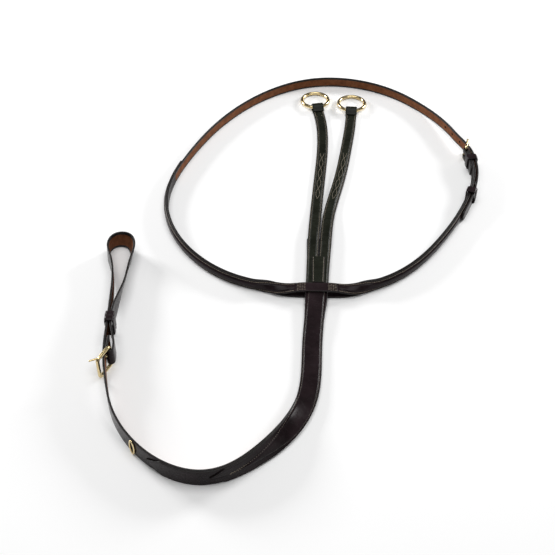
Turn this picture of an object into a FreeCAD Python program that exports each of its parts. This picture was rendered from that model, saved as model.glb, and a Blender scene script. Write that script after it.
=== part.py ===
"""Running martingale, lying as stored: neck strap, two forks with rein rings, centre strap with girth loop.

Every strap follows a plan route, and its section is drawn as (across, outwards) points. A strap's roll is 0
where it lies flat, with outwards upwards, and 90 where it stands on edge, with outwards to the route's left.
"""
import FreeCAD, Part
import math
import os

V = FreeCAD.Vector

# Driving dimensions, in millimetres and degrees
CROSSING = (-7.0, -8.0)         # where the neck strap crosses the centre strap
SHIFT = (27.4, -70.0)           # moves the middle of the whole object to the origin
GAP = 0.3                       # clearance between pieces that move against each other
BULGE = 1.8                     # height of the padding under each raised ply
HOLE_PITCH = 20.0
HOLE_SIZE = 3.2
HOLE_DEPTH = 4.0                # length of the tool that cuts a hole or slot through one ply
TRIM = 0.4                      # an outer ply is this much narrower than the ply under it
FRAME_CORNER = 4.0              # bend radius of both buckle frames

NECK_WIDTH = 16.0
NECK_LINING = 2.4
NECK_PLY = 2.0
NECK_RIDGE = 8.0
NECK_START = 4.0                # from the buckle's heel bar to the end of the lining
NECK_RAISED_START = 25.0
NECK_BAND_HALF = 26.0           # between the raised plies a flat band passes over the centre strap
NECK_BAND_LIFT = 8.5            # the outer plies leave the lining to pass over the centre strap
NECK_PARTING = (14.0, 62.0)     # distances from the crossing over which they come down again
NECK_FLAT = 27.0                # the strap lies flat this far each side of the crossing
NECK_ON_EDGE = 85.0             # and stands on edge from here
NECK_LAP = 30.0                 # how far the left raised ply covers the billet
NECK_BUCKLE_LIFT = 5.4
NECK_LIFT_SPAN = (25.0, 150.0)  # distances from the heel bar over which the strap comes down to the ground
NECK_WIRE = 1.6
NECK_FRAME = (20.2, 10.8)       # length and half height
NECK_FRAME_TURN = -25.5         # from the strap's line to the frame's
NECK_TONGUE = (22.5, 1.1)       # reach and half thickness
NECK_TONGUE_OFFSET = -2.9
NECK_FIXED_KEEPER = (14.0, 24.5, -5.2, 7.2)     # start, end, inner and outer face
NECK_RUNNING_KEEPER = (83.0, 94.0, -3.4, 7.7)
KEEPER_WALL = 1.5
FIXED_SLACK = 0.8               # room across the strap inside each keeper
RUNNING_SLACK = 1.4
GIRTH_SLACK = 1.0
BILLET_TAIL = 136.0             # from the heel bar to the billet's tip
BILLET_STEP = 6.6               # how far the billet moves outwards as it passes through the buckle
BILLET_STEP_SPAN = (-45.0, 8.0)     # where it does so, from the heel bar
BILLET_TIP = 10.0               # width lost at the billet's tip
BILLET_TIP_SPAN = (-8.0, 2.0)   # where it narrows, from its end
BILLET_SLOT = (12.0, 3.8)       # length and height of the slot that the tongue passes through
BILLET_SLOT_PLACE = -6.5        # from the heel bar
CHAPE_LENGTH = 45.0
CHAPE_CLEAR = (0.4, 1.1)        # from the lining: along the inner limb, and more at the bend
CHAPE_SLOT = (14.0, 4.6, 14.0)  # length, height and depth

CENTRE_WIDTH = 25.0
YOKE_WIDTH = 28.5
YOKE_FLARE = 3.5                # extra width where the forks leave
BASE_THICKNESS = 2.6
SECOND_THICKNESS = 1.8
RAISED_THICKNESS = 1.6
CHEST_RIDGE = 17.0
CHEST_RIDGE_END = 3.0
CHEST_POINT = 100.0             # length of the ridge's pointed end
CHEST_SINK = (-45.0, 4.0)       # the ridge comes down over this stretch, from its tip
CHEST_CORE_SHORT = 8.0          # the filler stops this far before it
CHEST_V = 17.0                  # the raised chest ply's end is cut to a point over this length
CHEST_V_TIP = 7.0
SECOND_V = 21.0                 # and so is the second ply's
SECOND_V_TIP = 3.0
CROSSING_LIFT = 2.7             # the centre strap passes over the neck lining
CROSSING_SPAN = (-97.0, -36.0)  # and comes down to the ground over this stretch of y
GIRTH_LIFT = 6.0
GIRTH_RISE_SPAN = (-245.0, -160.0)
GIRTH_FALL_SPAN = (-60.0, 40.0)
YOKE_SPAN = (-60.0, -20.0)      # the centre strap widens to the yoke over this stretch of y
FLARE_SPAN = (20.0, 80.0)
GIRTH_WIRE = 2.2
GIRTH_FRAME = (24.5, 15.8)
GIRTH_FRAME_ANGLE = -118.0
GIRTH_TONGUE = (27.0, 1.5)
GIRTH_TONGUE_ANGLE = -158.0
GIRTH_HEEL = (-258.0, -126.0)
GIRTH_HOLE = (-265.0, -128.8)   # where the girth buckle's tongue passes through the strap
GIRTH_SLOT = (9.0, 3.8)
HEEL_SLOT = (16.0, 5.4, 11.0)   # opening in the turned end for the tongue's eye
GIRTH_KEEPER = (-265.5, -75.0)
GIRTH_KEEPER_HALF = 8.0
GIRTH_KEEPER_FACES = (-6.4, 2.2)
LOOP_TURN = (-265.0, 64.0)      # middle of the girth loop's round end
LOOP_RADIUS = 15.5
GIRTH_LEAN = (3.0, 15.0)        # the loop's two sides lean this much towards the forks
LEAN_SPAN = (-58.0, -5.0)       # the lean grows over this stretch of y
OVAL_PLACE = (-218.0, -253.0)
OVAL_WIRE = 1.1
OVAL_HALF = (4.0, 11.2)         # along and across the strap
OVAL_CLEAR = 0.1

FORK_WIDTH = 16.0
FORK_NARROWING = 1.6            # the forks are narrower where they lie side by side
FORK_LINING = 2.0
FORK_PLY = 2.0
FORK_RIDGE = 9.0
FORK_RIDGE_END = 5.0
FORK_POINT = 16.0               # the ridge narrows over this length before the fold
FORK_FLEX_Y = 92.0              # line across the yoke where the forks bend upwards
FORK_FLAT_Y = 165.0             # beyond here the forks lie on the ground
FOLD_HOLE = 3.8                 # radius inside the turned leather that holds a rein ring
FOLD_WIDTH = 17.0
FOLD_BACK = 10.5                # how far the turned leather comes back over the fork
FOLD_END = 1.4                  # how far its cut end stands above the raised ply's margin
FOLD_TOE = 2.0                  # length of the flat part that is stitched down
FOLD_FLAT = 1.5                 # level stretch above the ring
RING_RADIUS = 20.0
RING_WIRE = 2.5
RING_REACH = 19.05              # from the fold's middle to the ring's
YOKE_Y = 1.2                    # the forks start here, just past the neck strap
COVER_Y = 48.0
COVER_NEAR = (-13.0, 2.2)       # the cover's edges at the neck strap
COVER_FAR = (-12.0, 5.0)        # and at its other end
COVER_THICKNESS = 1.6

# Plan routes
NECK_POINTS = [(216, 258), (220, 215), (200, 148), (160, 80), (107, 22), (50, -5), (-7, -8), (-65, -4),
               (-110, 9), (-188, 80), (-211, 165), (-185, 260), (-87, 395), (0, 437), (108, 416), (205, 295)]
NECK_JOIN_PLACE = (-205, 210)
CHEST_POINTS = [(-2, 88), (-7, -8), (-15, -100), (-24, -184), (-43, -225), (-80, -266), (-140, -295),
                (-185, -282.5), (-222, -251), (-249, -206), (-258, -172), (-263, -145), (-265.5, -115),
                (-265.5, -75), (-266.5, -30), (-269, 5), (-275, 36)]
GIRTH_RETURN_POINTS = [(-251, 36), (-254, 0), (-259.5, -45), (-262, -74), (-261, -86), (-257, -102)]
GIRTH_END_POINTS = [(-261.4, -114), (-261.6, -105)]
FORK_LEFT_POINTS = [(-14.1, YOKE_Y), (-8.6, FORK_FLEX_Y), (2, 210), (9, 292), (8, 345), (3.5, 377)]
FORK_RIGHT_POINTS = [(0.9, YOKE_Y), (8, FORK_FLEX_Y), (13, 135), (30, 210), (45, 292), (52, 340), (54.6, 368.5)]


def smooth(x, low, high):
    """Eases from 0 at low to 1 at high."""
    t = min(1.0, max(0.0, (x - low) / (high - low)))
    return t * t * (3 - 2 * t)


class Route:
    """A natural cubic spline through plan points, measured by its length."""

    WRAP = 4                    # points repeated past each end, to close a loop smoothly
    SAMPLE = 1.5                # distance between samples

    def __init__(self, points, closed=False):
        self.closed = closed
        wrap = self.WRAP if closed else 0
        pts = [tuple(map(float, p)) for p in points]
        if closed:
            pts = pts[-wrap:] + pts + pts[:wrap + 1]
        knots = [0.0]
        for a, b in zip(pts, pts[1:]):
            knots.append(knots[-1] + math.dist(a, b))
        bends = [self.second_derivatives(knots, [p[k] for p in pts]) for k in (0, 1)]
        first, last = wrap, len(pts) - 1 - wrap
        self.samples = [pts[first]]
        for i in range(first, last):
            h = knots[i + 1] - knots[i]
            steps = max(4, int(h / self.SAMPLE))
            for j in range(1, steps + 1):
                b = j / steps
                a = 1 - b
                self.samples.append(tuple(
                    a * pts[i][k] + b * pts[i + 1][k]
                    + ((a ** 3 - a) * bends[k][i] + (b ** 3 - b) * bends[k][i + 1]) * h * h / 6
                    for k in (0, 1)))
        self.lengths = [0.0]
        for a, b in zip(self.samples, self.samples[1:]):
            self.lengths.append(self.lengths[-1] + math.dist(a, b))
        self.length = self.lengths[-1]

    @staticmethod
    def second_derivatives(knots, values):
        n = len(knots)
        upper = [0.0] * n
        right = [0.0] * n
        for i in range(1, n - 1):
            h0 = knots[i] - knots[i - 1]
            h1 = knots[i + 1] - knots[i]
            slope = (values[i + 1] - values[i]) / h1 - (values[i] - values[i - 1]) / h0
            pivot = 2 * (h0 + h1) - h0 * upper[i - 1]
            upper[i] = h1 / pivot
            right[i] = (6 * slope - h0 * right[i - 1]) / pivot
        bends = [0.0] * n
        for i in range(n - 2, 0, -1):
            bends[i] = right[i] - upper[i] * bends[i + 1]
        return bends

    def point(self, s):
        if self.closed:
            s = s % self.length
        s = min(max(s, 0.0), self.length)
        low, high = 0, len(self.lengths) - 1
        while high - low > 1:
            mid = (low + high) // 2
            if self.lengths[mid] <= s:
                low = mid
            else:
                high = mid
        t = (s - self.lengths[low]) / (self.lengths[high] - self.lengths[low])
        a, b = self.samples[low], self.samples[high]
        return (a[0] + (b[0] - a[0]) * t, a[1] + (b[1] - a[1]) * t)

    def tangent(self, s):
        if self.closed:
            a, b = self.point(s - 1), self.point(s + 1)
        else:
            a, b = self.point(max(0, s - 1)), self.point(min(self.length, s + 1))
        d = math.dist(a, b)
        return ((b[0] - a[0]) / d, (b[1] - a[1]) / d)

    def angle(self, s):
        t = self.tangent(s)
        return math.degrees(math.atan2(t[1], t[0]))

    def offset(self, s, d):
        """The plan point d to the left of the route."""
        p, t = self.point(s), self.tangent(s)
        return (p[0] - t[1] * d, p[1] + t[0] * d)

    def nearest_y(self, y):
        best = min(range(len(self.samples)), key=lambda i: abs(self.samples[i][1] - y))
        return self.lengths[best]

    def nearest(self, point):
        best = min(range(len(self.samples)), key=lambda i: math.dist(self.samples[i], point))
        return self.lengths[best]


def station_grid(route, end, roll, breaks):
    """Places along a whole route that all its plies share, closer together where it bends or rolls."""
    longest, most_turn, nearest_break = 11.0, 4.0, 1.5
    found = [0.0]
    s = 0.0
    while s < end:
        s += 1.0
        t0, t1 = route.tangent(found[-1]), route.tangent(s)
        cross = t0[0] * t1[1] - t0[1] * t1[0]
        turn = math.degrees(abs(math.atan2(cross, t0[0] * t1[0] + t0[1] * t1[1])))
        if turn > most_turn or s - found[-1] > longest or abs(roll(s) - roll(found[-1])) > most_turn:
            found.append(s)
    clear = [s for s in found if all(abs(s - b) > nearest_break for b in breaks)]
    return sorted(clear + list(breaks))


def stations(grid, start, end):
    """The grid's places between start and end, and both ends."""
    return [start] + [s for s in grid if start + 0.5 < s < end - 0.5] + [end]


def station_points(route, s, outline, roll, height):
    """An outline of (across, outwards) points, set across the route at s."""
    p, t = route.point(s), route.tangent(s)
    c, k = math.cos(math.radians(roll(s))), math.sin(math.radians(roll(s)))
    out = []
    for w, d in outline:
        side = w * c + d * k
        out.append(V(p[0] - t[1] * side, p[1] + t[0] * side, height(s) + d * c - w * k))
    return out


def strap(route, start, end, section, roll, height, grid=None):
    """A solid strap whose section(s) outline follows the route."""
    if grid is None:
        grid = station_grid(route, route.length, roll, [])
    wires = []
    for s in stations(grid, start, end):
        corners = station_points(route, s, section(s), roll, height)
        wires.append(Part.makePolygon(corners + corners[:1]))
    return Part.makeLoft(wires, True, True)


def lying(s):
    return 0.0


def on_edge(s):
    return 90.0


def band(width, low, high):
    return [(-width / 2, low), (width / 2, low), (width / 2, high), (-width / 2, high)]


def filler(low, ridge, rise=BULGE):
    """Padding under a raised ply."""
    foot = ridge / 2 - 0.4
    shoulder = max(0.3, ridge / 2 - 1.6)
    return [(-foot, low), (foot, low), (shoulder, low + rise), (-shoulder, low + rise)]


def hat_top(half, margin, ridge, rise=BULGE):
    """A raised ply's outer face, from its right edge to its left."""
    toe, shoulder = ridge / 2 + 1.2, ridge / 2 - 0.6
    return [(half, margin), (toe, margin), (shoulder, margin + rise), (-shoulder, margin + rise),
            (-toe, margin), (-half, margin)]


def hat(width, low, thickness, ridge, rise=BULGE):
    """A ply moulded over a filler: flat margins and a raised middle, hollow underneath."""
    half = width / 2
    left_foot, right_foot, right_shoulder, left_shoulder = filler(low, ridge, rise)
    return (hat_top(half, low + thickness, ridge, rise)
            + [(-half, low), left_foot, left_shoulder, right_shoulder, right_foot, (half, low)])


def turned(solid, angle, place, z):
    """Turns a solid about the vertical through the origin, then moves it to a plan place and height."""
    solid.rotate(V(0, 0, 0), V(0, 0, 1), angle)
    solid.translate(V(place[0], place[1], z))
    return solid


def slot_tool(place, angle, z, length, height, depth):
    """A block to cut a slot through standing leather, centred at a plan place."""
    block = Part.makeBox(length, depth, height, V(-length / 2, -depth / 2, -height / 2))
    return turned(block, angle, place, z)


def sleeve(route, start, end, faces, width, height):
    """A keeper: a loop of leather round a strap that stands on edge."""
    low, high = faces
    wall = KEEPER_WALL
    outline = band(width + 2 * wall, low - wall, high + wall)
    outer = strap(route, start, end, lambda s: outline, on_edge, height)
    inner = strap(route, start - 1, end + 1, lambda s: band(width, low, high), on_edge, height)
    return outer.cut(inner)


def wire_loop(low, high, half, corner, wire):
    """A rounded rectangle of round wire, standing upright, from x = low to x = high and half up and down."""
    arcs = []
    for side, lift, first in ((high - corner, 1, 0), (low + corner, 1, 90), (low + corner, -1, 180),
                              (high - corner, -1, 270)):
        arc = []
        for step in (0, 45, 90):
            a = math.radians(first + step)
            arc.append(V(side + corner * math.cos(a), 0, lift * (half - corner) + corner * math.sin(a)))
        arcs.append(arc)
    edges = []
    for k in (1, 2, 3, 0):
        start, end = arcs[k][2], arcs[(k + 1) % 4][0]
        if start.distanceToPoint(end) > 0.001:
            edges.append(Part.makeLine(start, end))
        edges.append(Part.Arc(*arcs[(k + 1) % 4]).toShape())
    circle = Part.Wire(Part.makeCircle(wire, arcs[1][2], V(0, 0, 1)))
    return Part.Wire(edges).makePipeShell([circle], True, True)


def buckle_frame(heel, angle, size, wire, z):
    """Heel bar at the origin's place, front bar one length away."""
    length, half = size
    return turned(wire_loop(0, length, half, FRAME_CORNER, wire), angle, heel, z)


def tongue(heel, angle, size, offset, bar, z):
    """A buckle tongue: an eye round the heel bar and a tapering arm."""
    reach, thick = size
    bore, wall, tall, taper = bar + GAP / 2, 1.1, 3.2, 0.7
    eye = Part.makeCylinder(bore + wall, tall, V(0, 0, -tall / 2))
    arm = Part.makeCone(thick, thick * taper, reach, V(0, offset, 0), V(1, 0, 0))
    hole = Part.makeCylinder(bore, 2 * tall, V(0, 0, -tall))
    return turned(eye.fuse(arm).cut(hole), angle, heel, z)


# Neck strap: starts at the buckle's heel bar and goes clockwise round the loop
NECK = Route(NECK_POINTS, closed=True)
NECK_CROSS = NECK.nearest(CROSSING)
NECK_JOIN = NECK.nearest(NECK_JOIN_PLACE)
NECK_HEEL_OFFSET = -(NECK_WIRE + GAP)
NECK_RIGHT = (NECK_RAISED_START, NECK_CROSS - NECK_BAND_HALF)
NECK_LEFT = (NECK_CROSS + NECK_BAND_HALF, NECK_JOIN + NECK_LAP)


def neck_roll(s):
    return 90 * smooth(abs(s % NECK.length - NECK_CROSS), NECK_FLAT, NECK_ON_EDGE)


def neck_lift(s):
    from_heel = (s + NECK.length / 2) % NECK.length - NECK.length / 2
    return NECK_BUCKLE_LIFT * (1 - smooth(abs(from_heel), *NECK_LIFT_SPAN))


def neck_height(s):
    r = math.radians(neck_roll(s))
    return NECK_LINING * math.cos(r) + NECK_WIDTH / 2 * math.sin(r) + neck_lift(s)


def parting(s):
    """How far the outer plies stand off the lining near the crossing."""
    return NECK_BAND_LIFT * (1 - smooth(abs(s - NECK_CROSS), *NECK_PARTING))


def billet_offset(s):
    """Middle of the billet, outwards from the neck route: it crosses the buckle to lie outside the strap."""
    first, last = BILLET_STEP_SPAN
    return -NECK_LINING / 2 + BILLET_STEP * smooth(s, NECK.length + first, NECK.length + last)


NECK_BREAKS = [NECK_START, NECK_RAISED_START, NECK_CROSS - NECK_FLAT, NECK_RIGHT[1], NECK_LEFT[0],
               NECK_CROSS + NECK_FLAT, NECK_JOIN]
NECK_GRID = station_grid(NECK, NECK.length + BILLET_TAIL, neck_roll, NECK_BREAKS)


def neck_strap(start, end, section):
    return strap(NECK, start, end, section, neck_roll, neck_height, NECK_GRID)


def neck_lining():
    """The full-length lining. Where it lies flat it is one level plate, which the whole object rests on."""
    ends = (NECK_CROSS - NECK_FLAT, NECK_CROSS + NECK_FLAT)
    section = band(NECK_WIDTH, -NECK_LINING, 0)
    right = neck_strap(NECK_START, ends[0], lambda s: section)
    left = neck_strap(ends[1], NECK_JOIN, lambda s: section)
    places = stations(NECK_GRID, *ends)
    plan = [NECK.offset(s, -NECK_WIDTH / 2) for s in places]
    plan += [NECK.offset(s, NECK_WIDTH / 2) for s in reversed(places)]
    points = [V(x, y, 0) for x, y in plan]
    plate = Part.Face(Part.makePolygon(points + points[:1])).extrude(V(0, 0, NECK_LINING))
    return right.fuse([plate, left]).removeSplitter()


def neck_raised(ends):
    return neck_strap(*ends, lambda s: hat(NECK_WIDTH - TRIM, parting(s), NECK_PLY, NECK_RIDGE))


def neck_core(ends):
    return neck_strap(*ends, lambda s: filler(parting(s), NECK_RIDGE))


def neck_loop_band():
    """The flat band between the raised plies, which holds the centre strap down on the lining."""
    return neck_strap(NECK_RIGHT[1], NECK_LEFT[0],
                      lambda s: band(NECK_WIDTH - TRIM, parting(s), parting(s) + NECK_PLY))


def neck_billet():
    """The strap's free end: it passes through the buckle, and the tongue takes the long slot."""
    end = NECK.length + BILLET_TAIL
    half = NECK_LINING / 2
    solid = neck_strap(NECK_JOIN, end, lambda s: band(
        NECK_WIDTH - BILLET_TIP * smooth(s - end, *BILLET_TIP_SPAN), billet_offset(s) - half,
        billet_offset(s) + half))
    for k in range(-4, 4):
        s = NECK.length + BILLET_SLOT_PLACE - HOLE_PITCH * k
        length, height = BILLET_SLOT if k == 0 else (HOLE_SIZE, HOLE_SIZE)
        place = NECK.offset(s, billet_offset(s))
        solid = solid.cut(slot_tool(place, NECK.angle(s), neck_height(s), length, height, HOLE_DEPTH))
    return solid


def neck_chape():
    """Short leather turned round the heel bar: outside limb, bend, then the inside limb along the lining."""
    heel = NECK.offset(0, NECK_HEEL_OFFSET)
    t = NECK.tangent(0)
    half = NECK_PLY / 2
    radius = NECK_WIRE + GAP + half
    outside = [NECK.offset(s, half) for s in (24, 16, 8, 3)]
    bend = []
    for k in range(7):
        a = math.pi * k / 6
        along, out = -math.sin(a) * radius, math.cos(a) * radius
        bend.append((heel[0] + t[0] * along - t[1] * out, heel[1] + t[1] * along + t[0] * out))
    inside = []
    for s in (4, 10, 18, 30, CHAPE_LENGTH):
        clear = CHAPE_CLEAR[0] + CHAPE_CLEAR[1] * (1 - smooth(s, 4, 16))
        inside.append(NECK.offset(s, -NECK_LINING - half - clear))
    route = Route(outside + bend + inside)
    solid = strap(route, 0, route.length, lambda s: band(NECK_WIDTH, -half, half), on_edge,
                  lambda s: neck_height(0))
    return solid.cut(slot_tool(heel, NECK.angle(0), neck_height(0), *CHAPE_SLOT))


def neck_keeper(keeper, slack):
    start, end, low, high = keeper
    return sleeve(NECK, start, end, (low, high), NECK_WIDTH + slack, neck_height)


# Centre strap: yoke, chest, girth loop, then the end turned round the girth buckle's heel bar
def arc_points(centre, radius, first, last, count):
    """Evenly spaced plan points on an arc, both ends included."""
    out = []
    for k in range(count):
        a = math.radians(first + (last - first) * k / (count - 1))
        out.append((centre[0] + radius * math.cos(a), centre[1] + radius * math.sin(a)))
    return out


def centre_route():
    turn = arc_points(LOOP_TURN, LOOP_RADIUS, 170, 10, 5)
    heel = arc_points(GIRTH_HEEL, GIRTH_WIRE + GAP + BASE_THICKNESS / 2, 0, -180, 9)
    return Route(CHEST_POINTS + turn + GIRTH_RETURN_POINTS + heel + GIRTH_END_POINTS)


CENTRE = centre_route()
CHEST_START = CENTRE.nearest((-6.5, YOKE_Y - 1))
CHEST_END = CENTRE.nearest((-133, -295))
CHEST_TIP = CENTRE.nearest((-112, -284))        # where the ridge ends in a point
SECOND_END = CENTRE.nearest((-201, -269))
ROLL_START = CENTRE.nearest((-17, -138))
ROLL_END = CENTRE.nearest((-126, -293))
LEAN_TURN = (CENTRE.nearest((-281, 66)), CENTRE.nearest((-249, 66)))    # the loop's round end
CENTRE_HALF = BASE_THICKNESS / 2
CHEST_LOW = CENTRE_HALF + SECOND_THICKNESS


def girth_lean(s):
    """Both sides lean the same way: the first rolls short of upright and the second past it."""
    if s < CHEST_END:
        return 0
    first, second = GIRTH_LEAN
    lean = (first + second) * smooth(s, *LEAN_TURN) - first
    return lean * smooth(CENTRE.point(s)[1], *LEAN_SPAN)


def centre_roll(s):
    return 90 * smooth(s, ROLL_START, ROLL_END) + girth_lean(s)


def centre_height(s):
    r = math.radians(centre_roll(s))
    y = CENTRE.point(s)[1]
    if s < ROLL_START:
        lift = CROSSING_LIFT * smooth(y, *CROSSING_SPAN)
    elif s > CHEST_END:
        lift = GIRTH_LIFT * smooth(y, *GIRTH_RISE_SPAN) * (1 - smooth(y, *GIRTH_FALL_SPAN))
    else:
        lift = 0
    return CENTRE_HALF * abs(math.cos(r)) + CENTRE_WIDTH / 2 * math.sin(r) + lift


def centre_width(s):
    y = CENTRE.point(s)[1]
    if s > ROLL_START:
        return CENTRE_WIDTH
    return (CENTRE_WIDTH + (YOKE_WIDTH - CENTRE_WIDTH) * smooth(y, *YOKE_SPAN)
            + YOKE_FLARE * smooth(y, *FLARE_SPAN))


def chest_ridge(s):
    return CHEST_RIDGE - (CHEST_RIDGE - CHEST_RIDGE_END) * smooth(s, CHEST_TIP - CHEST_POINT, CHEST_TIP)


def chest_rise(s):
    return BULGE * (1 - smooth(s - CHEST_TIP, *CHEST_SINK))


CENTRE_GRID = station_grid(CENTRE, CENTRE.length, centre_roll,
                           [CHEST_START, CHEST_END - CHEST_V, CHEST_END, SECOND_END - SECOND_V, SECOND_END])


def centre_strap(start, end, section):
    return strap(CENTRE, start, end, section, centre_roll, centre_height, CENTRE_GRID)


def pointed(width, tip, s, end, length):
    """A ply's width where its end is cut to a V."""
    return min(width, tip + (width - tip) * (end - s) / length)


def girth_strap():
    solid = centre_strap(0, CENTRE.length, lambda s: band(centre_width(s), -CENTRE_HALF, CENTRE_HALF))
    first_hole = CENTRE.nearest(GIRTH_HOLE)
    z = centre_height(first_hole)
    solid = solid.cut(slot_tool(GIRTH_HEEL, 90, z, *HEEL_SLOT))
    for k in range(-2, 4):
        s = first_hole + HOLE_PITCH * k
        length, height = GIRTH_SLOT if k == 0 else (HOLE_SIZE, HOLE_SIZE)
        tool = slot_tool(CENTRE.point(s), CENTRE.angle(s), centre_height(s), length, height, HOLE_DEPTH)
        solid = solid.cut(tool)
    return solid


def second_ply():
    return centre_strap(CHEST_START, SECOND_END, lambda s: band(
        pointed(centre_width(s), SECOND_V_TIP, s, SECOND_END, SECOND_V), CENTRE_HALF, CHEST_LOW))


def chest_raised():
    def section(s):
        width = pointed(centre_width(s) - TRIM, CHEST_V_TIP, s, CHEST_END, CHEST_V)
        return hat(width, CHEST_LOW, RAISED_THICKNESS, chest_ridge(s), chest_rise(s))

    return centre_strap(CHEST_START, CHEST_END, section)


def chest_core():
    end = CHEST_TIP - CHEST_CORE_SHORT
    return centre_strap(CHEST_START, end, lambda s: filler(CHEST_LOW, chest_ridge(s), chest_rise(s)))


def chest_ring():
    """A brass oval ring that lies on the outer face of the strap."""
    s = CENTRE.nearest(OVAL_PLACE)
    along, across = OVAL_HALF
    oval = Part.Wire([Part.Ellipse(V(0, 0, 0), across, along).toShape()])
    circle = Part.Wire(Part.makeCircle(OVAL_WIRE, V(across, 0, 0), V(0, 1, 0)))
    ring = oval.makePipeShell([circle], True, True)
    ring.rotate(V(0, 0, 0), V(1, 0, 0), 90)
    ring.rotate(V(0, 0, 0), V(0, 1, 0), 90)
    place = CENTRE.offset(s, CENTRE_HALF + OVAL_WIRE + OVAL_CLEAR)
    return turned(ring, CENTRE.angle(s), place, centre_height(s))


def girth_keeper():
    s = CENTRE.nearest(GIRTH_KEEPER)
    return sleeve(CENTRE, s - GIRTH_KEEPER_HALF, s + GIRTH_KEEPER_HALF, GIRTH_KEEPER_FACES,
                  CENTRE_WIDTH + GIRTH_SLACK, centre_height)


# Forks
FORK_LEFT = Route(FORK_LEFT_POINTS)
FORK_RIGHT = Route(FORK_RIGHT_POINTS)
WIRE_AXIS = FORK_LINING + FOLD_HOLE
FORK_MARGIN = FORK_LINING + FORK_PLY
YOKE_TOP = BASE_THICKNESS + CROSSING_LIFT + FORK_MARGIN + BULGE


def fork_bottom(route):
    drop = BASE_THICKNESS + CROSSING_LIFT
    return lambda s: drop * (1 - smooth(route.point(s)[1], FORK_FLEX_Y, FORK_FLAT_Y))


def fork_width(route):
    return lambda s: FORK_WIDTH - FORK_NARROWING * (1 - smooth(route.point(s)[1], YOKE_Y, FORK_FLEX_Y))


def fork_strap(route, start, end, section):
    return strap(route, start, end, section, lying, fork_bottom(route))


def fork_fold(route):
    """The lining turned up and back over the ring, drawn from the side and extruded across the fork."""
    inner, outer = FOLD_HOLE, FOLD_HOLE + FORK_LINING
    low, top, flat = FORK_LINING, FORK_MARGIN + FOLD_END, FOLD_FLAT
    toe = FOLD_TOE - FOLD_BACK
    edges = [Part.makeLine(V(0, 0, 0), V(0, 0, low)),
             Part.Arc(V(0, 0, low), V(inner, 0, WIRE_AXIS), V(0, 0, WIRE_AXIS + inner)).toShape(),
             Part.makeLine(V(0, 0, WIRE_AXIS + inner), V(-flat, 0, WIRE_AXIS + inner)),
             Part.makeLine(V(-flat, 0, WIRE_AXIS + inner), V(toe, 0, low)),
             Part.makeLine(V(toe, 0, low), V(-FOLD_BACK, 0, low)),
             Part.makeLine(V(-FOLD_BACK, 0, low), V(-FOLD_BACK, 0, top)),
             Part.makeLine(V(-FOLD_BACK, 0, top), V(0, 0, WIRE_AXIS + outer)),
             Part.Arc(V(0, 0, WIRE_AXIS + outer), V(outer, 0, WIRE_AXIS), V(0, 0, 0)).toShape()]
    face = Part.Face(Part.Wire(edges))
    face.translate(V(0, -FOLD_WIDTH / 2, 0))
    solid = face.extrude(V(0, FOLD_WIDTH, 0))
    return turned(solid, route.angle(route.length), route.point(route.length), 0)


def rein_ring(route):
    """Round ring through the fold, its far side resting on the ground."""
    tilt = math.degrees(math.asin((WIRE_AXIS - RING_WIRE) / (RING_REACH + RING_RADIUS)))
    ring = Part.makeTorus(RING_RADIUS, RING_WIRE)
    ring.translate(V(RING_REACH, 0, 0))
    ring.rotate(V(0, 0, 0), V(0, 1, 0), tilt)
    return turned(ring, route.angle(route.length), route.point(route.length), WIRE_AXIS)


def fork_nodes(side, route):
    """One fork: its root under the yoke cover, and the free plies, filler and ring that lift together."""
    width = fork_width(route)
    flex = route.nearest_y(FORK_FLEX_Y)
    start = flex + GAP
    end = route.length - FOLD_BACK - GAP

    def ridge(s):
        return FORK_RIDGE - (FORK_RIDGE - FORK_RIDGE_END) * smooth(s, end - FORK_POINT, end)

    def root(s):
        half = width(s) / 2
        return [(-half, 0), (half, 0)] + hat_top(half, FORK_MARGIN, ridge(s))

    def ply(s):
        return hat(width(s) - TRIM, FORK_LINING, FORK_PLY, ridge(s))

    lining = fork_strap(route, start, route.length, lambda s: band(width(s), 0, FORK_LINING))
    return {
        f"fork_{side}_root": fork_strap(route, 0, flex, root),
        f"fork_{side}_lining": lining.fuse(fork_fold(route)),
        f"fork_{side}_raised_ply": fork_strap(route, start, end, ply),
        f"fork_{side}_core": fork_strap(route, start, end, lambda s: filler(FORK_LINING, ridge(s))),
        f"rein_ring_{side}": rein_ring(route),
    }


def yoke_cover():
    """Patch stitched over the meeting of the two forks."""
    points = [V(x, YOKE_Y, YOKE_TOP) for x in COVER_NEAR] + [V(x, COVER_Y, YOKE_TOP) for x in COVER_FAR[::-1]]
    return Part.Face(Part.makePolygon(points + points[:1])).extrude(V(0, 0, COVER_THICKNESS))


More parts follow.
